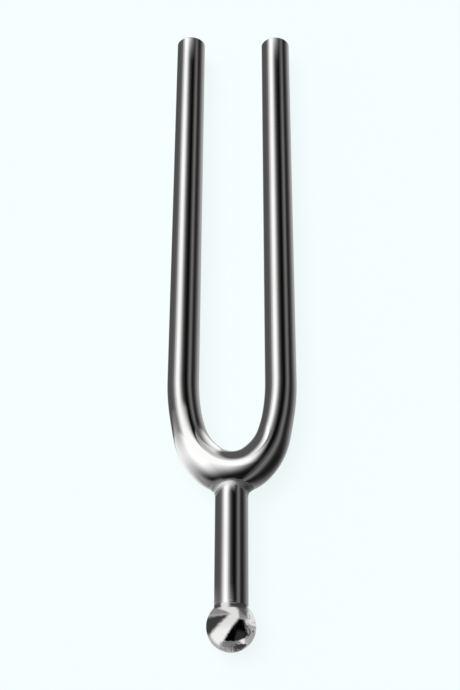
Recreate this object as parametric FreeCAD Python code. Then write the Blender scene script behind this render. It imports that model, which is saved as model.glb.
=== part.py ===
"""Tuning fork, A at 440 Hz: a round steel bar bent into a U, with a brazed stem and a ball end.

The fork lies flat, as it does on a table at z = 0: its prongs run towards +Y and its ball is at
the -Y end. The origin is on the table, under the middle of the fork's length.
"""
import FreeCAD, Part

import math
import os

# ---- driving sizes, in millimetres and degrees ----
bar_diameter = 6.0             # round steel bar of the prongs
prong_spacing = 18.45          # between the two prongs' centre lines
prong_length = 81.9            # straight part of each prong, from the bend to the tip: this sets the pitch
tip_chamfer = 0.3              # deburred rim of each tip
yoke_bend_radius = 6.3         # tight bend round the middle of the yoke, at the bar's centre line
yoke_bend_angle = 41.3         # how far that bend turns, each side of the middle
shoulder_bend_radius = 42.5    # gentle bend where a prong leaves the straight
shoulder_bend_angle = 15.3     # how far that gentle bend turns
yoke_diameter = 7.9            # the bar is upset thicker at the middle of the yoke
yoke_swell_length = 15.8       # how far along the bar, each side, that thickening fades out
stem_diameter = 6.0
stem_length = 22.55            # between the stem's two shoulders
tenon_diameter = 4.0           # turned-down ends of the stem
tenon_length = 3.4
tenon_chamfer = 0.4
shoulder_chamfer = 0.7         # round each shoulder of the stem, where the ring of braze is laid
ball_diameter = 8.65
yoke_fillet_radius = 1.2       # of the braze round the head of the stem
ball_fillet_radius = 0.8       # of the braze round its foot

# ---- fits ----
braze_clearance = 0.03         # radial gap that the braze is drawn into
hole_bottom_gap = 0.4          # how much deeper a blind hole is than its tenon
seat_margin = 0.05             # how far the spot face cuts below the yoke's round side

# ---- worked out from the sizes above ----
bar_radius = bar_diameter / 2
yoke_radius = yoke_diameter / 2
stem_radius = stem_diameter / 2
tenon_radius = tenon_diameter / 2
ball_radius = ball_diameter / 2
seat_radius = stem_radius + braze_clearance
hole_radius = tenon_radius + braze_clearance
hole_depth = tenon_length + hole_bottom_gap

# the U's centre line, from the yoke's middle: a tight bend, a cheek, and a gentle bend into the prong
prong_offset = prong_spacing / 2
yoke_turn = math.radians(yoke_bend_angle)
shoulder_turn = math.radians(shoulder_bend_angle)
cheek_turn = math.pi / 2 - yoke_turn - shoulder_turn
cheek_width = (
    prong_offset
    - yoke_bend_radius * math.sin(yoke_turn)
    - shoulder_bend_radius * (1 - math.cos(shoulder_turn))
)
cheek_bend_radius = cheek_width / (math.cos(shoulder_turn) - math.sin(yoke_turn))
bends = [
    (yoke_bend_radius, yoke_turn),
    (cheek_bend_radius, cheek_turn),
    (shoulder_bend_radius, shoulder_turn),
]
bend_half_length = sum(radius * turn for radius, turn in bends)
section_step = 1.2             # spacing of the round sections that the bend is drawn through
loft_degree = 2                # a higher degree ripples between the sections

# distances along the fork's axis, from where it crosses the U's centre line
head_seat = math.sqrt(yoke_radius ** 2 - seat_radius ** 2) - seat_margin
foot_seat = head_seat + stem_length
ball_centre = foot_seat + math.sqrt(ball_radius ** 2 - stem_radius ** 2)
axis_height = max(ball_radius, yoke_radius)     # of the fork's axis above the table

x_axis = FreeCAD.Vector(1, 0, 0)
y_axis = FreeCAD.Vector(0, 1, 0)
z_axis = FreeCAD.Vector(0, 0, 1)


def on_axis(y):
    """A point on the fork's own axis."""
    return FreeCAD.Vector(0, y, 0)


def centre_line(along):
    """Direction in radians, x and y of the U's centre line, at a distance along it from the yoke's middle."""
    direction, x, y = 0.0, 0.0, 0.0
    for radius, turn in bends:
        step = min(along / radius, turn)
        x += radius * (math.sin(direction + step) - math.sin(direction))
        y += radius * (math.cos(direction) - math.cos(direction + step))
        direction += step
        along -= radius * step
    return direction, x, y


prong_root = centre_line(bend_half_length)[2]
tip = prong_root + prong_length


def thickness_radius(along):
    """The bar's radius there: thickest in the middle of the yoke, and the plain bar past the swell."""
    share = min(along / yoke_swell_length, 1)
    swell = (1 + math.cos(math.pi * share)) / 2
    return bar_radius + (yoke_radius - bar_radius) * swell


def round_section(along):
    """The bar's round outline at a signed distance along the bend."""
    side = math.copysign(1, along)
    direction, x, y = centre_line(abs(along))
    ring = Part.makeCircle(thickness_radius(abs(along)), FreeCAD.Vector(), x_axis)
    ring.rotate(FreeCAD.Vector(), z_axis, math.degrees(side * direction))
    ring.translate(FreeCAD.Vector(side * x, y, 0))
    return Part.Wire([ring])


def bend():
    """The U-shaped end of the bar, drawn through evenly spaced round sections."""
    steps = 2 * math.ceil(bend_half_length / section_step)
    places = [bend_half_length * (2 * i / steps - 1) for i in range(steps + 1)]
    sections = [round_section(place) for place in places]
    return Part.makeLoft(sections, True, False, False, loft_degree)


def prong(side):
    """One straight prong, with its tip's rim chamfered."""
    root = FreeCAD.Vector(side * prong_offset, prong_root, 0)
    plain = prong_length - tip_chamfer
    shank = Part.makeCylinder(bar_radius, plain, root, y_axis)
    crown = Part.makeCone(bar_radius, bar_radius - tip_chamfer, tip_chamfer, root + y_axis * plain, y_axis)
    return shank.fuse(crown)


def bent_bar():
    """The whole U, before it is drilled."""
    return bend().fuse([prong(-1), prong(1)])


def hole(seat, direction):
    """The blind hole behind a seat, for a tenon."""
    return Part.makeCylinder(hole_radius, hole_depth, on_axis(seat), direction)


def prong_bar():
    """The U with a spot face for the stem's shoulder and a blind hole for its tenon."""
    spot_face = Part.makeCylinder(seat_radius, yoke_radius, on_axis(-head_seat), -y_axis)
    return bent_bar().cut([spot_face, hole(-head_seat, y_axis)])


def turned_end(seat, direction):
    """One end of the stem, out along the direction: a chamfered shoulder and a tenon with a chamfered nose."""
    edge_radius = stem_radius - shoulder_chamfer
    nose_radius = tenon_radius - tenon_chamfer
    profile = [
        (0, -shoulder_chamfer),
        (stem_radius, -shoulder_chamfer),
        (edge_radius, 0),
        (tenon_radius, 0),
        (tenon_radius, tenon_length - tenon_chamfer),
        (nose_radius, tenon_length),
        (0, tenon_length),
    ]
    corners = [FreeCAD.Vector(out, seat + along * direction, 0) for out, along in profile]
    return Part.Face(Part.makePolygon(corners + corners[:1])).revolve(on_axis(0), y_axis, 360)


def stem():
    """The turned stem with a shoulder and a tenon at each end."""
    middle = Part.makeCylinder(
        stem_radius, stem_length - 2 * shoulder_chamfer, on_axis(-head_seat - shoulder_chamfer), -y_axis
    )
    return middle.fuse([turned_end(-head_seat, 1), turned_end(-foot_seat, -1)]).removeSplitter()


def plain_ball():
    """The ball with a flat where the stem lands."""
    ball = Part.makeSphere(ball_radius, on_axis(-ball_centre), -y_axis)
    return ball.cut(Part.makeCylinder(stem_radius, ball_radius, on_axis(-foot_seat), y_axis))


def ball_end():
    """The ball with its flat and a blind hole for the stem's tenon."""
    return plain_ball().cut(hole(-foot_seat, -y_axis))


def corner_edges(joined, carrier):
    """The edges of a joined shape that run round the stem on its carrier's surface."""
    found = []
    for edge in joined.Edges:
        middle = edge.valueAt((edge.FirstParameter + edge.LastParameter) / 2)
        on_stem = abs(math.hypot(middle.x, middle.z) - stem_radius) < 0.001
        if on_stem and carrier.distToShape(Part.Vertex(middle))[0] < 0.001:
            found.append(edge)
    return found


def braze(carrier, seat, direction, fillet_radius):
    """Braze round one end of the stem: a fillet in the corner, over the groove that the chamfer leaves."""
    rod = Part.makeCylinder(stem_radius, stem_length / 2, on_axis(seat), direction)
    joined = carrier.fuse(rod)
    return joined.makeFillet(fillet_radius, corner_edges(joined, carrier))


def yoke_braze():
    """The braze round the stem's head, in the saddle-shaped corner on the yoke."""
    metal = braze(bent_bar(), -head_seat, -y_axis, yoke_fillet_radius)
    return metal.cut([prong_bar(), stem(), hole(-head_seat, y_axis)])


def ball_braze():
    """The braze round the stem's foot, on the ball."""
    metal = braze(plain_ball(), -foot_seat, y_axis, ball_fillet_radius)
    return metal.cut([ball_end(), stem(), hole(-foot_seat, -y_axis)])


def write(name, shape):
    """Puts a piece where it lies on the table and writes its file."""
    middle = (tip - ball_centre - ball_radius) / 2
    shape.translate(FreeCAD.Vector(0, -middle, axis_height))
    shape.exportStep("parts/" + name + ".step")


os.makedirs("parts", exist_ok=True)
write("prong_bar", prong_bar())
write("stem", stem())
write("ball_end", ball_end())
write("yoke_braze", yoke_braze())
write("ball_braze", ball_braze())
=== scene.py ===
"""A 440 Hz tuning fork of plated round steel bar, lying on a pale table under soft studio light."""
import math

import bmesh
import bpy
from mathutils import Matrix, Vector, noise


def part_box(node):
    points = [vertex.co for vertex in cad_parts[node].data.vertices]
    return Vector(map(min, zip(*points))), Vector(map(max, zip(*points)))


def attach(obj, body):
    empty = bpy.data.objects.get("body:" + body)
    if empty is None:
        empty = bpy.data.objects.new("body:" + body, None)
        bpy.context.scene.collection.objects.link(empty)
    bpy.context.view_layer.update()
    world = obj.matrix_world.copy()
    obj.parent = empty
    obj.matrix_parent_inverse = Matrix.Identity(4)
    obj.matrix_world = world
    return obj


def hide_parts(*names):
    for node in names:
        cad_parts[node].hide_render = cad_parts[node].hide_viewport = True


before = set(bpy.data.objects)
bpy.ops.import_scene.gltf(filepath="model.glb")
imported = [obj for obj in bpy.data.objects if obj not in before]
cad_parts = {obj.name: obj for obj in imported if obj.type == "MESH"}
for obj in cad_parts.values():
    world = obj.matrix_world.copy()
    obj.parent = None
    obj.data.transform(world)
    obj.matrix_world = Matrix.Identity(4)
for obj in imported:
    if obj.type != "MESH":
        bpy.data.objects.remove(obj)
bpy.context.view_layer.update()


# ---- the prong bar ----
# One length of 6 mm round steel bar, upset thicker at its middle and bent hot into a U, with its
# tips sawn square and deburred. It is polished all over and plated with bright nickel.

bar_radius = 0.0030
yoke_radius = 0.00395
yoke_swell_length = 0.0158
prong_length = 0.0819
tip_chamfer = 0.0003
edge_softness = 0.00006
round_corners = 96                  # points of a ring round the bar
crisp_bend = math.radians(30)       # edges that bend by more than this stay crisp

bar_low, bar_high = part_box("prong_bar")
axis_height = (bar_low.z + bar_high.z) / 2
prong_offset = bar_high.x - bar_radius
tip_y = bar_high.y

# half of the bend: a tight turn round the yoke, a cheek, and a gentle turn into the prong
yoke_bend_radius = 0.0063
yoke_turn = math.radians(41.3)
shoulder_bend_radius = 0.0425
shoulder_turn = math.radians(15.3)
cheek_turn = math.pi / 2 - yoke_turn - shoulder_turn
cheek_bend_radius = (
    prong_offset
    - yoke_bend_radius * math.sin(yoke_turn)
    - shoulder_bend_radius * (1 - math.cos(shoulder_turn))
) / (math.cos(shoulder_turn) - math.sin(yoke_turn))
bends = [
    (yoke_bend_radius, yoke_turn),
    (cheek_bend_radius, cheek_turn),
    (shoulder_bend_radius, shoulder_turn),
]
bend_half_length = sum(radius * turn for radius, turn in bends)


def bar_centre(along):
    """Direction, x and y of the U's centre line at a distance along it, from the yoke's middle at 0, 0."""
    direction, x, y = 0.0, 0.0, 0.0
    for radius, turn in bends:
        step = min(along / radius, turn)
        x += radius * (math.sin(direction + step) - math.sin(direction))
        y += radius * (math.cos(direction) - math.cos(direction + step))
        direction += step
        along -= radius * step
    return direction, x + along * math.cos(direction), y + along * math.sin(direction)


def bar_thickness(along):
    """The bar's radius at a distance along its centre line from the yoke's middle."""
    share = min(along / yoke_swell_length, 1)
    return bar_radius + (yoke_radius - bar_radius) * (1 + math.cos(math.pi * share)) / 2


yoke_y = tip_y - prong_length - bar_centre(bend_half_length)[2]


def round_ring(middle, across, up, radius, corners):
    """Points of a circle about a middle, in the plane of two directions."""
    turns = [2 * math.pi * i / corners for i in range(corners)]
    return [middle + (across * math.cos(turn) + up * math.sin(turn)) * radius for turn in turns]


def skin(name, rings, closed_ring=False):
    """A smooth mesh through rings of points, with its length and girth in metres as UVs.

    Its ends are closed by a point in the middle of each, unless the last ring meets the first.
    """
    corners = len(rings[0])
    points = [point for ring in rings for point in ring]
    faces = []
    spans = len(rings) if closed_ring else len(rings) - 1
    for i in range(spans):
        here, there = i * corners, (i + 1) % len(rings) * corners
        for j in range(corners):
            k = (j + 1) % corners
            faces.append((here + j, here + k, there + k, there + j))
    if not closed_ring:
        last = (len(rings) - 1) * corners
        points += [sum(rings[0], Vector()) / corners, sum(rings[-1], Vector()) / corners]
        first_middle, last_middle = len(points) - 2, len(points) - 1
        for j in range(corners):
            k = (j + 1) % corners
            faces.append((first_middle, k, j))
            faces.append((last_middle, last + j, last + k))
    mesh = bpy.data.meshes.new(name)
    mesh.from_pydata(points, [], faces)
    lay_out(mesh, rings, corners, spans)
    shape = bmesh.new()
    shape.from_mesh(mesh)
    bmesh.ops.recalc_face_normals(shape, faces=shape.faces)
    shape.to_mesh(mesh)
    shape.free()
    mesh.polygons.foreach_set("use_smooth", [True] * len(mesh.polygons))
    mesh.set_sharp_from_angle(angle=crisp_bend)
    piece = bpy.data.objects.new(name, mesh)
    bpy.context.scene.collection.objects.link(piece)
    return piece


def lay_out(mesh, rings, corners, spans):
    """Gives the mesh UVs that run along it and round it, in metres."""
    girth = max(sum((ring[j] - ring[j - 1]).length for j in range(corners)) for ring in rings)
    along = [0.0]
    for i in range(spans):
        near, far = rings[i], rings[(i + 1) % len(rings)]
        along.append(along[-1] + (far[0] - near[0]).length)
    layer = mesh.uv_layers.new(name="along_and_round")
    for face in mesh.polygons:
        span, place = divmod(face.index, corners)
        for corner, loop in enumerate(face.loop_indices):
            u = along[min(span + (corner > 1), spans)]
            v = girth * (place + (corner in (1, 2))) / corners
            layer.data[loop].uv = (u, v)


def bar_places():
    """Distances along the bar from the yoke's middle to a tip: close in the bend, wider on the prong."""
    bend_steps, prong_steps = 80, 60
    places = [bend_half_length * i / bend_steps for i in range(bend_steps)]
    plain = prong_length - tip_chamfer - 3 * edge_softness
    return places + [bend_half_length + plain * i / prong_steps for i in range(prong_steps + 1)]


def bar_rings(side):
    """Rings from the yoke's middle out to one tip, on the side given as -1 or 1."""
    up = Vector((0, 0, 1))
    tip_along = bend_half_length + prong_length
    shape = [(along, bar_thickness(along)) for along in bar_places()]
    shape += [
        (tip_along - tip_chamfer - edge_softness / 2, bar_radius),
        (tip_along - tip_chamfer + edge_softness, bar_radius - edge_softness),
        (tip_along - edge_softness, bar_radius - tip_chamfer + edge_softness),
        (tip_along, bar_radius - tip_chamfer - edge_softness),
        (tip_along, bar_radius / 2),
    ]
    rings = []
    for along, radius in shape:
        direction, x, y = bar_centre(along)
        middle = Vector((side * x, yoke_y + y, axis_height))
        across = Vector((-side * math.sin(direction), math.cos(direction), 0))
        rings.append(round_ring(middle, across, up, radius, round_corners))
    return rings


prong_bar = skin("prong_bar_plated", bar_rings(-1)[:0:-1] + bar_rings(1))


class Wiring:
    """A node tree, built one step at a time."""

    def __init__(self, tree):
        self.tree = tree

    def node(self, kind, **settings):
        made = self.tree.nodes.new(kind)
        for name, value in settings.items():
            setattr(made, name, value)
        return made

    def join(self, start, end):
        self.tree.links.new(start, end)

    def spread(self, value, low, high, new_low, new_high):
        """A value moved from one range to another, and held there."""
        made = self.node("ShaderNodeMapRange")
        for socket, number in zip(made.inputs[1:5], (low, high, new_low, new_high)):
            socket.default_value = number
        self.join(value, made.inputs[0])
        return made.outputs[0]

    def both(self, first, second, operation="MULTIPLY"):
        """Two values taken together by one step of arithmetic."""
        made = self.node("ShaderNodeMath", operation=operation)
        self.join(first, made.inputs[0])
        self.join(second, made.inputs[1])
        return made.outputs[0]


class Finish(Wiring):
    """A material whose looks are built on its main shader."""

    def __init__(self, name):
        self.material = bpy.data.materials.new(name)
        self.material.use_nodes = True
        super().__init__(self.material.node_tree)
        self.shader = self.tree.nodes["Principled BSDF"]

    def place(self, output, scale):
        """Texture space from object or UV coordinates, stretched by a scale of repeats to the metre."""
        mapping = self.node("ShaderNodeMapping")
        mapping.inputs["Scale"].default_value = scale
        self.join(self.node("ShaderNodeTexCoord").outputs[output], mapping.inputs["Vector"])
        return mapping.outputs["Vector"]

    def cloud(self, place, detail=3.0, rough=0.5):
        """Soft random variation between 0 and 1."""
        made = self.node("ShaderNodeTexNoise")
        made.inputs["Scale"].default_value = 1
        made.inputs["Detail"].default_value = detail
        made.inputs["Roughness"].default_value = rough
        self.join(place, made.inputs["Vector"])
        return made.outputs["Fac"]

    def blend(self, share, start, end):
        """A colour between two others."""
        made = self.node("ShaderNodeMix", data_type="RGBA")
        made.inputs[6].default_value = (*start, 1)
        made.inputs[7].default_value = (*end, 1)
        self.join(share, made.inputs[0])
        return made.outputs[2]

    def relief(self, height, depth):
        """Surface relief from a height between 0 and 1, as deep as is given in metres."""
        bump = self.node("ShaderNodeBump")
        bump.inputs["Strength"].default_value = 1
        bump.inputs["Distance"].default_value = depth
        self.join(height, bump.inputs["Height"])
        self.join(bump.outputs["Normal"], self.shader.inputs["Normal"])


clouded_nickel = (0.86, 0.86, 0.85)
clear_nickel = (0.90, 0.90, 0.895)
clouds_per_metre = (90, 90, 90)
smears_per_metre = (260, 120, 260)  # drawn out along the fork


def nickel(name, grain_scale, smooth, scuffed, relief_depth):
    """Bright nickel plate: a faint grain of polishing, smears of handling, and thin clouding.

    Its roughness lies between smooth and scuffed, and its grain has repeats to the metre along
    the piece and round it.
    """
    finish = Finish(name)
    finish.shader.inputs["Metallic"].default_value = 1
    clouding = finish.cloud(finish.place("Object", clouds_per_metre))
    tint = finish.blend(finish.spread(clouding, 0.35, 0.65, 0, 1), clouded_nickel, clear_nickel)
    finish.join(tint, finish.shader.inputs["Base Color"])
    grain = finish.cloud(finish.place("UV", grain_scale), detail=4, rough=0.6)
    smears = finish.cloud(finish.place("Object", smears_per_metre), detail=5, rough=0.6)
    roughness = finish.both(
        finish.spread(grain, 0.45, 0.75, smooth, scuffed),
        finish.spread(smears, 0.55, 0.75, smooth, scuffed),
        "MAXIMUM",
    )
    finish.join(roughness, finish.shader.inputs["Roughness"])
    finish.relief(grain, relief_depth)
    return finish.material


prong_bar.data.materials.append(
    nickel("bar_plating", grain_scale=(60, 5000, 1), smooth=0.03, scuffed=0.07, relief_depth=0.0000004)
)
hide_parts("prong_bar")
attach(prong_bar, "root")
prong_bar.visible_glossy = False    # its two prongs don't mirror each other


# ---- the stem ----
# A short turned rod as thick as the bar. A tenon at each end sits in a blind hole, one in the
# yoke and one in the ball, and each shoulder is chamfered for the braze.

stem_radius = 0.0030
tenon_radius = 0.0020
tenon_length = 0.0034
tenon_chamfer = 0.0004
shoulder_chamfer = 0.0007
stem_low, stem_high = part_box("stem")
head_seat = stem_high.y - tenon_length
foot_seat = stem_low.y + tenon_length


def upright_ring(middle, radius, corners):
    """Points of a circle that stands square to the fork's axis."""
    return round_ring(middle, Vector((1, 0, 0)), Vector((0, 0, 1)), radius, corners)


def axis_ring(y, radius, corners):
    """Points of a circle about the fork's own axis, at a place along it."""
    return upright_ring(Vector((0, y, axis_height)), radius, corners)


def stem_profile():
    """Places and radii from the foot's tenon to the head's."""
    foot = [
        (foot_seat - tenon_length, tenon_radius / 2),
        (foot_seat - tenon_length, tenon_radius - tenon_chamfer),
        (foot_seat - tenon_length + tenon_chamfer, tenon_radius),
        (foot_seat, tenon_radius),
        (foot_seat, stem_radius - shoulder_chamfer),
        (foot_seat + shoulder_chamfer, stem_radius),
    ]
    head = [(foot_seat + head_seat - y, radius) for y, radius in reversed(foot)]
    start, end = foot_seat + 2 * shoulder_chamfer, head_seat - 2 * shoulder_chamfer
    steps = 20
    middle = [(start + (end - start) * i / steps, stem_radius) for i in range(steps + 1)]
    return foot + middle + head


stem = skin("stem_plated", [axis_ring(y, radius, round_corners) for y, radius in stem_profile()])
stem.data.materials.append(
    nickel("stem_plating", grain_scale=(5000, 60, 1), smooth=0.03, scuffed=0.07, relief_depth=0.0000004)
)
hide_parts("stem")
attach(stem, "root")


# ---- the ball end ----
# A steel ball with a flat and a blind hole for the stem. It is pressed on tables and sounding
# boards all its life, so its plating is dented and scuffed round the far side.

ball_low, ball_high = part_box("ball_end")
ball_radius = (ball_high.x - ball_low.x) / 2
ball_middle = Vector((0, ball_low.y + ball_radius, axis_height))
ball_corners = 144
ball_steps = 97                     # from pole to pole

# how the ball is dented: wear grows from a least amount as its surface turns right or to the far pole
dent_depth = 0.00020
dents_to_radius = 11                # scale of the noise that the dents come from
dented_share = 0.2                  # more of this leaves less of the surface plain
least_wear = 0.1
right_wear_start, right_wear_growth = 0.5, 2.5
pole_wear_start, pole_wear_growth = 0.70, 3


def ball_rings():
    """Rings from the far pole up to the flat that the stem sits on."""
    rings = []
    for i in range(ball_steps):
        lean = math.pi * (i + 0.5) / ball_steps
        y = ball_middle.y - ball_radius * math.cos(lean)
        if y > foot_seat:
            break
        rings.append(axis_ring(y, ball_radius * math.sin(lean), ball_corners))
    return rings + [axis_ring(foot_seat, stem_radius, ball_corners)]


def worn(point):
    """The ball's surface with its dents: deepest at the far pole and on the right."""
    outward = (point - ball_middle).normalized()
    right_wear = right_wear_growth * (outward.x - right_wear_start)
    pole_wear = pole_wear_growth * (-outward.y - pole_wear_start)
    wear = min(max(right_wear, pole_wear, least_wear), 1)
    dents = noise.fractal(outward * dents_to_radius, 1.0, 2.0, 3)
    return point - outward * dent_depth * wear * max(0, dents + dented_share)


ball = skin("ball_end_plated", [[worn(point) for point in ring] for ring in ball_rings()])
ball.data.materials.append(
    nickel("ball_plating", grain_scale=(900, 900, 1), smooth=0.05, scuffed=0.16, relief_depth=0.000002)
)
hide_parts("ball_end")
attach(ball, "root")


# ---- the two brazes ----
# Silver braze drawn round the stem's head on the yoke and round its foot on the ball, wiped to a
# smooth hollow fillet and plated over with the rest. Its edges feather out on both pieces.

yoke_fillet_radius = 0.0017         # at the sides of the stem, where the yoke bends away from it
yoke_fillet_least = 0.0008          # on top of the stem and under it
ball_fillet_radius = 0.0007
feather = 0.00012                   # how far the braze runs out over the yoke or the ball
stem_feather = 0.00045              # and over the stem, past the chamfer of its shoulder
film = 0.000002                     # its thickness at those edges
braze_root = 0.0004                 # how deep its hidden root lies in the joint
braze_corners = 128
braze_arc_steps = 14

# how the fillets are found on the curved surfaces of the yoke and the ball
bend_searched = 0.012               # along the bar, each side of the yoke's middle
bend_narrowings = 32
arc_halvings = 40
clear_of_yoke = head_seat - 0.006
clear_of_ball = foot_seat + 0.004


def yoke_gap(point):
    """How far a point is outside the yoke's surface, and the way out from the bar's middle there."""
    near, far = 0.0, bend_searched
    for _ in range(bend_narrowings):
        thirds = (near + (far - near) / 3, far - (far - near) / 3)
        gaps = []
        for along in thirds:
            _, x, y = bar_centre(along)
            middle = Vector((math.copysign(x, point.x), yoke_y + y, axis_height))
            gaps.append(((point - middle).length - bar_thickness(along), middle))
        if gaps[0][0] < gaps[1][0]:
            far = thirds[1]
        else:
            near = thirds[0]
    gap, middle = min(gaps, key=lambda found: found[0])
    return gap, (point - middle).normalized()


def ball_gap(point):
    """How far a point is outside the ball's surface, and the way out from its middle there."""
    return (point - ball_middle).length - ball_radius, (point - ball_middle).normalized()


def braze_section(turn, fillet_radius, carrier_gap, inner, outer):
    """The braze's section at one angle round the stem: an arc that touches the stem and its carrier.

    The arc's middle is searched for along y, between a place in the carrier and one clear of it.
    """
    out = Vector((math.cos(turn), 0, math.sin(turn)))
    for _ in range(arc_halvings):
        y = (inner + outer) / 2
        middle = Vector((0, y, axis_height)) + out * (stem_radius + fillet_radius)
        gap, away = carrier_gap(middle)
        if gap < fillet_radius:
            inner = y
        else:
            outer = y
    along = Vector((0, math.copysign(1, outer - inner), 0))
    curve = [middle - out * (fillet_radius - film) + along * stem_feather]
    for i in range(braze_arc_steps + 1):
        lean = (-out).slerp(-away, i / braze_arc_steps)
        curve.append(middle + lean * (fillet_radius - film))
    beyond = (away.cross(out.cross(away))).normalized()
    curve.append(curve[-1] + beyond * feather)
    root = out * braze_root + along * braze_root
    return curve + [middle - out * fillet_radius - root]


def braze(name, side_radius, top_radius, carrier_gap, inner, outer):
    """A ring of braze round the stem, whose fillet may be narrower on top and below than at the sides."""
    sections = []
    for i in range(braze_corners):
        turn = 2 * math.pi * i / braze_corners
        fillet_radius = top_radius + (side_radius - top_radius) * math.cos(turn) ** 2
        sections.append(braze_section(turn, fillet_radius, carrier_gap, inner, outer))
    return skin(name, sections, closed_ring=True)


yoke_braze = braze(
    "yoke_braze_plated", yoke_fillet_radius, yoke_fillet_least, yoke_gap, yoke_y, clear_of_yoke
)
ball_braze = braze(
    "ball_braze_plated", ball_fillet_radius, ball_fillet_radius, ball_gap, ball_middle.y, clear_of_ball
)
for piece, node, smooth, scuffed in (
    (yoke_braze, "yoke_braze", 0.42, 0.50),
    (ball_braze, "ball_braze", 0.10, 0.16),
):
    piece.data.materials.append(
        nickel(node + "_plating", (1500, 1500, 1), smooth, scuffed, relief_depth=0.0000002)
    )
    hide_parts(node)
    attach(piece, "root")


# ---- the room ----
# The studio that the polished metal mirrors. A long softbox runs over the fork's left side, with
# dark cloth to the right, behind and in front, and pale cards low down and at the back.

backdrop_colour = (0.913, 1.0, 1.0)

# how bright the room is at an angle about the fork's axis, in degrees from straight up
softbox_stops = [
    (-180, 0.60), (-158, 0.25), (-140, 0.085), (-92, 0.09), (-76, 0.15), (-60, 0.55), (-48, 1.02),
    (-38, 1.12), (-28, 0.88), (-17, 0.36), (-6, 0.09), (5, 0.02), (17, 0.003), (26, 0.008),
    (36, 0.065), (47, 0.17), (55, 0.13), (66, 0.033), (75, 0.018), (90, 0.055), (106, 0.18),
    (128, 0.38), (180, 0.60),
]


def right_of(degrees):
    """The way that points to the right of a plane through the fork's axis, turned from upright."""
    turn = math.radians(degrees)
    return (math.cos(turn), 0, -math.sin(turn))


def left_of(degrees):
    """The way that points to the left of such a plane."""
    turn = math.radians(degrees)
    return (-math.cos(turn), 0, math.sin(turn))


# Each cloth or card has its brightness, and soft edges: a way, and how far along it the edge
# starts and ends, as a share of the distance to it. Later ones hang in front of earlier ones.
room_cards = {
    "right cloth": (0.01, [(right_of(83), -0.2, 0), (left_of(140), -1.4, 0.9), ((0, -1, 0), -0.55, 0.2)]),
    "near cloth": (0.01, [((0.4, -1, 0), -0.45, 0.7), (left_of(10), -0.25, 0.05)]),
    "near floor": (0.2, [((0, -1, 0), 0.45, 0.6), (left_of(-110), -0.35, 0.1), (left_of(0), 0, 0.1)]),
    "back cloth": (0.1, [((0, 1, 0), 0.65, 0.85)]),
    "back card": (1.2, [((0.5, -0.9, 0), -0.8, -0.6), ((0, 1, 0), 0.65, 1)]),
    "back right cloth": (0.01, [((0, 0, 1), -0.2, 0.7), ((0, 1, 0), 0.6, 0.8), ((1, 0, 0), 0.3, 0.4)]),
    "low back card": (1.2, [((0, 1, 0), 0.7, 0.8), ((0, 0, -1), -0.2, 0.6), ((1, 0, 0), 0.2, 0.3)]),
    "softbox far end": (1.5, [
        ((0, 1, 0), 0.65, 0.68), ((0, -1, 0), -0.9, -0.6), (right_of(-62), 0, 0.4), (left_of(3), -0.5, 0.4),
    ]),
    "softbox near end": (1.5, [
        ((-0.4, 1, 0), -0.6, 0.9), ((0.65, -1, 0), -1.1, -0.4), ((0, -1, 0), -0.28, -0.22),
        (left_of(10), -0.3, 0.3),
    ]),
}


def covered(wiring, place, edges):
    """How far a place is inside all of a card's soft edges, from 0 to 1."""
    inside = None
    for way, start, end in edges:
        along = wiring.node("ShaderNodeVectorMath", operation="DOT_PRODUCT")
        along.inputs[1].default_value = way
        wiring.join(place, along.inputs[0])
        edge = wiring.node("ShaderNodeMapRange", interpolation_type="SMOOTHSTEP")
        edge.inputs["From Min"].default_value = start
        edge.inputs["From Max"].default_value = end
        wiring.join(along.outputs["Value"], edge.inputs["Value"])
        inside = edge.outputs[0] if inside is None else wiring.both(inside, edge.outputs[0])
    return inside


def hang(wiring, place, brightness, cards):
    """The brightness of a room once each card hangs in front of what was there before.

    What was there is one brightness all over, or a node's output.
    """
    for level, edges in cards.values():
        front = wiring.node("ShaderNodeMix")
        wiring.join(covered(wiring, place, edges), front.inputs[0])
        if isinstance(brightness, float):
            front.inputs[2].default_value = brightness
        else:
            wiring.join(brightness, front.inputs[2])
        front.inputs[3].default_value = level
        brightness = front.outputs[0]
    return brightness


def softbox(wiring, way):
    """How bright the room is in each direction, by its angle about the fork's axis."""
    parts = wiring.node("ShaderNodeSeparateXYZ")
    wiring.join(way, parts.inputs[0])
    about_axis = wiring.both(parts.outputs["X"], parts.outputs["Z"], "ARCTAN2")
    ramp = wiring.node("ShaderNodeValToRGB")
    wiring.join(wiring.spread(about_axis, -math.pi, math.pi, 0, 1), ramp.inputs[0])
    ramp.color_ramp.interpolation = "EASE"
    stops = ramp.color_ramp.elements
    while len(stops) > 1:
        stops.remove(stops[0])
    stops[0].position = 0
    for number, (degrees, level) in enumerate(softbox_stops):
        stop = stops[0] if number == 0 else stops.new((degrees + 180) / 360)
        stop.color = (level, level, level, 1)
    return ramp.outputs[0]


def either(wiring, share, first, second):
    """One shader or another, by a share from 0 to 1."""
    made = wiring.node("ShaderNodeMixShader")
    wiring.join(share, made.inputs[0])
    wiring.join(first.outputs[0], made.inputs[1])
    wiring.join(second.outputs[0], made.inputs[2])
    return made


world = bpy.data.worlds.new("room")
bpy.context.scene.world = world
world.use_nodes = True
room = Wiring(world.node_tree)
room.tree.nodes.clear()
looking = room.node("ShaderNodeTexCoord").outputs["Generated"]
mirrored = room.node("ShaderNodeBackground")
room.join(hang(room, looking, softbox(room, looking), room_cards), mirrored.inputs["Color"])
backdrop = room.node("ShaderNodeBackground")
backdrop.inputs["Color"].default_value = (*backdrop_colour, 1)
seen_directly = room.node("ShaderNodeLightPath").outputs["Is Camera Ray"]
shown = either(room, seen_directly, mirrored, backdrop)
room.join(shown.outputs[0], room.node("ShaderNodeOutputWorld").inputs[0])


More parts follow.
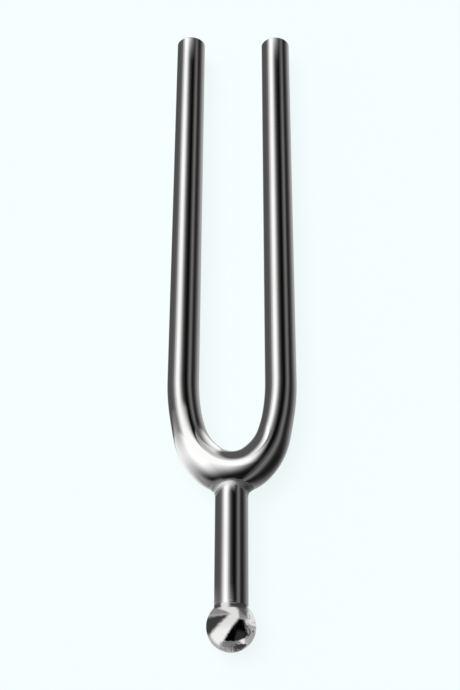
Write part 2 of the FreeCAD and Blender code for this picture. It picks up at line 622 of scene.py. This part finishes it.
# ---- the table ----
# A wide pale top that the fork lies on and casts its soft shadow on. It glows to the camera in the
# backdrop's colour, so that it has no far edge, and the metal doesn't mirror it.

table_reach = 3.0
table_glow = 0.90
table_paint = (0.09, 0.10, 0.10)


def stage_mesh(name, points, faces, finish):
    """A part of the stage, which isn't part of the fork."""
    mesh = bpy.data.meshes.new(name)
    mesh.from_pydata(points, [], faces)
    mesh.materials.append(finish.material)
    prop = bpy.data.objects.new(name, mesh)
    bpy.context.scene.collection.objects.link(prop)
    return prop


class Plain(Finish):
    """A finish without the main shader, for parts of the stage."""

    def __init__(self, name):
        super().__init__(name)
        self.tree.nodes.remove(self.shader)

    def show(self, shader):
        self.join(shader.outputs[0], self.tree.nodes["Material Output"].inputs["Surface"])


top = Plain("table_top")
matt = top.node("ShaderNodeBsdfDiffuse")
matt.inputs["Color"].default_value = (*table_paint, 1)
table_light = top.node("ShaderNodeEmission")
table_light.inputs["Color"].default_value = (*backdrop_colour, 1)
table_light.inputs["Strength"].default_value = table_glow
bright = top.node("ShaderNodeAddShader")
top.join(matt.outputs[0], bright.inputs[0])
top.join(table_light.outputs[0], bright.inputs[1])
top.show(either(top, top.node("ShaderNodeLightPath").outputs["Is Camera Ray"], matt, bright))
table_corners = [
    (-table_reach, -table_reach, 0), (table_reach, -table_reach, 0),
    (table_reach, table_reach, 0), (-table_reach, table_reach, 0),
]
table = stage_mesh("table", table_corners, [(0, 1, 2, 3)], top)
table.visible_glossy = False


# ---- the card over the bend ----
# A small white card with soft edges, held over the left of the yoke. It is what makes the broad
# white band on the bend, and only the metal sees it.

bend_card_height = 0.028
bend_card_glow = 1.1
bend_card_corners = [(-0.028, -0.035), (0.020, -0.035), (0.020, 0.0), (-0.028, 0.0)]

# its soft edges as in the room, but with places along each way in metres
bend_card_edges = [
    ((1, 0, 0), -0.027, -0.025), ((-1, -0.4, 0), -0.005, 0.005), ((0, 1, 0), -0.031, -0.028),
    ((0.5, -1, 0), -0.001, 0.003), ((0, -1, 0), 0.011, 0.017), ((-1, 1, 0), -0.043, -0.028),
]


def seen_in_metal_only(prop):
    """A card that shapes the reflections and isn't seen by itself."""
    prop.visible_camera = False
    prop.visible_diffuse = False
    prop.visible_shadow = False


class Paper(Plain):
    """Glowing paper for a card, and a clear shader for where it has none."""

    def __init__(self, name):
        super().__init__(name)
        self.glow = self.node("ShaderNodeEmission")
        self.clear = self.node("ShaderNodeBsdfTransparent")


bend_paper = Paper("bend_card_paper")
bend_paper.glow.inputs["Strength"].default_value = bend_card_glow
place = bend_paper.node("ShaderNodeTexCoord").outputs["Object"]
bend_paper.show(
    either(bend_paper, covered(bend_paper, place, bend_card_edges), bend_paper.clear, bend_paper.glow)
)
bend_card = stage_mesh(
    "bend_card", [(x, y, bend_card_height) for x, y in bend_card_corners], [(0, 1, 2, 3)], bend_paper
)
seen_in_metal_only(bend_card)


# ---- the cards round the ball ----
# Curved cards close round the ball and its braze, in a shell with a collar that stands just clear
# of the stem. Only the metal inside mirrors them: from outside, the shell is clear.

shell_glow = 0.84
shell_radius = 0.008
shell_steps = 60
collar_steps = 20
collar_share = 0.527                # of the shell's radius, along the axis, where its collar begins
collar_radius = 0.00302
collar_y = 0.00345                  # of the collar's rim, from the ball's middle
collar_slope = 0.2

# cards on the shell, hung as in the room, by the way out from the ball's middle
ball_cards = {
    "near end": (1.0, [((0, -1, 0), 0.0, 0.5)]),
    "floor": (0.21, [((0, -1, 0), 0.78, 0.92)]),
    "rim": (0.48, [((0, 0, -1), 0.0, 0.45), ((0, -1, 0), -0.1, 0.3)]),
    "right rim": (0.40, [((1, 0, 0), 0.6, 0.75), ((0, -1, 0), -0.14, 0.04)]),
    "left top": (0.28, [((0, 1, 0), 0.44, 0.58), ((-1, -2.9, 0), -1.56, -1.34)]),
    "left collar": (0.075, [((0, 1, 0), 0.685, 0.73), (left_of(-40), -0.08, 0.08), ((0, 0, 1), -0.1, 0.1)]),
    "left": (0.05, [((-0.65, 0.7, 0), 0.3, 0.5), ((0, -1, 0), -0.6, -0.35), ((0, 0, 1), -0.8, -0.6)]),
    "right middle": (0.28, [(right_of(24), -0.05, 0.15), (left_of(72), -0.1, 0.2), ((0, 1, 0), 0.22, 0.34)]),
    "right top": (0.11, [((1, 2.2, 0), 1.60, 1.90), (left_of(70), -0.3, 0.3)]),
    "right collar": (0.05, [((0, 1, 0), 0.68, 0.73), (right_of(-8), -0.1, 0.1), (left_of(70), -0.25, 0.25)]),
    "right": (0.001, [
        ((1, -0.75, 0), 0.1, 0.35), ((-0.95, -0.2, -0.1), -0.95, -0.7), ((0, -1, 0), -0.35, -0.2),
        ((0, 0.6, 1), -0.2, -0.05),
    ]),
    "right sheen": (0.03, [
        (right_of(20), -0.1, 0.12), (left_of(66), -0.1, 0.2), ((0, -1, 0), 0.3, 0.55),
        ((0, 0.6, 1), -0.22, -0.06),
    ]),
    "low arc": (0.05, [((0.25, -1, -0.35), 0.95, 0.985), ((0, 0, 1), -0.6, -0.45), ((1, 0, 0), 0.03, 0.13)]),
}


def way_out(paper):
    """The direction of a place on a prop from the prop's own origin."""
    outward = paper.node("ShaderNodeVectorMath", operation="NORMALIZE")
    paper.join(paper.node("ShaderNodeTexCoord").outputs["Object"], outward.inputs[0])
    return outward.outputs[0]


def sleeve(name, profile, paper):
    """A thin turned part of the stage, open at both ends, from places along y and the radius at each."""
    points = []
    for y, radius in profile:
        points += upright_ring(Vector((0, y, 0)), radius, round_corners)
    faces = []
    for i in range(len(profile) - 1):
        here, there = round_corners * i, round_corners * (i + 1)
        for j in range(round_corners):
            k = (j + 1) % round_corners
            faces.append((here + j, here + k, there + k, there + j))
    return stage_mesh(name, points, faces, paper)


def shell_profile():
    """The shell from its far pole to where the collar begins, and the collar in to its rim."""
    profile = []
    collar_lean = math.acos(collar_share)
    for i in range(shell_steps + 1):
        lean = math.pi - (math.pi - collar_lean) * i / shell_steps
        profile.append((shell_radius * math.cos(lean), shell_radius * math.sin(lean)))
    widest = profile[-1][1]
    for i in range(1, collar_steps + 1):
        out = widest + (collar_radius - widest) * i / collar_steps
        profile.append((collar_y + collar_slope * (out - collar_radius), out))
    return profile


shell_paper = Paper("ball_card_paper")
shell_brightness = hang(shell_paper, way_out(shell_paper), shell_glow, ball_cards)
shell_paper.join(shell_brightness, shell_paper.glow.inputs["Strength"])
from_outside = shell_paper.node("ShaderNodeNewGeometry").outputs["Backfacing"]
shell_paper.show(either(shell_paper, from_outside, shell_paper.glow, shell_paper.clear))
shell = sleeve("ball_cards", shell_profile(), shell_paper)
shell.location = ball_middle
seen_in_metal_only(shell)


# ---- the card at the yoke's braze ----
# A small grey card on the left of the stem's head, spread like a collar and clear of the stem. Only
# the braze and the metal beside it mirror it.

yoke_collar_glow = 0.17
yoke_collar_radii = (0.00303, 0.0054)
yoke_collar_slope = 0.40
yoke_collar_gap = 0.0003            # below the foot of the yoke's fillet
yoke_collar_edges = [(left_of(-27), -0.10, 0.14), (right_of(-150), -0.1, 0.1), ((0, -1, 0), -0.165, -0.11)]

collar_paper = Paper("collar_card_paper")
collar_paper.glow.inputs["Strength"].default_value = yoke_collar_glow
collar_shown = covered(collar_paper, way_out(collar_paper), yoke_collar_edges)
collar_paper.show(either(collar_paper, collar_shown, collar_paper.clear, collar_paper.glow))
yoke_collar_profile = [(yoke_collar_slope * (out - stem_radius), out) for out in yoke_collar_radii]
yoke_collar = sleeve("yoke_collar_card", yoke_collar_profile, collar_paper)
yoke_collar.location = Vector((0, head_seat - yoke_fillet_radius - yoke_collar_gap, axis_height))
seen_in_metal_only(yoke_collar)


# ---- the overhead light ----
# A wide soft light from above and a little to the left. It makes the faint shadow on the table, and
# the metal doesn't mirror it.

lamp_data = bpy.data.lights.new("overhead", "SUN")
lamp_data.energy = 2.2
lamp_data.angle = math.radians(60)
lamp = bpy.data.objects.new("overhead", lamp_data)
lamp.rotation_euler = (math.radians(-12), math.radians(-18), 0)
lamp.visible_glossy = False
bpy.context.scene.collection.objects.link(lamp)


# ---- the camera ----
# It stands over the ball end and looks down along the fork, so the prongs draw together a little.

camera_distance = 0.2304
camera_lean = math.radians(27.3)
camera_roll = math.radians(0.26)
aim = Vector((-0.00042, -0.0078, axis_height))
camera_data = bpy.data.cameras.new("camera")
camera_data.sensor_width = 36
camera_data.lens = 62.6
camera_data.clip_start = 0.01
camera = bpy.data.objects.new("camera", camera_data)
bpy.context.scene.collection.objects.link(camera)
towards = Vector((0, math.sin(camera_lean), -math.cos(camera_lean)))
camera.location = aim - towards * camera_distance
camera.rotation_euler = (
    towards.to_track_quat("-Z", "Y").to_matrix() @ Matrix.Rotation(camera_roll, 3, "Z")
).to_euler()
bpy.context.scene.camera = camera
bpy.context.scene.view_settings.view_transform = "Standard"
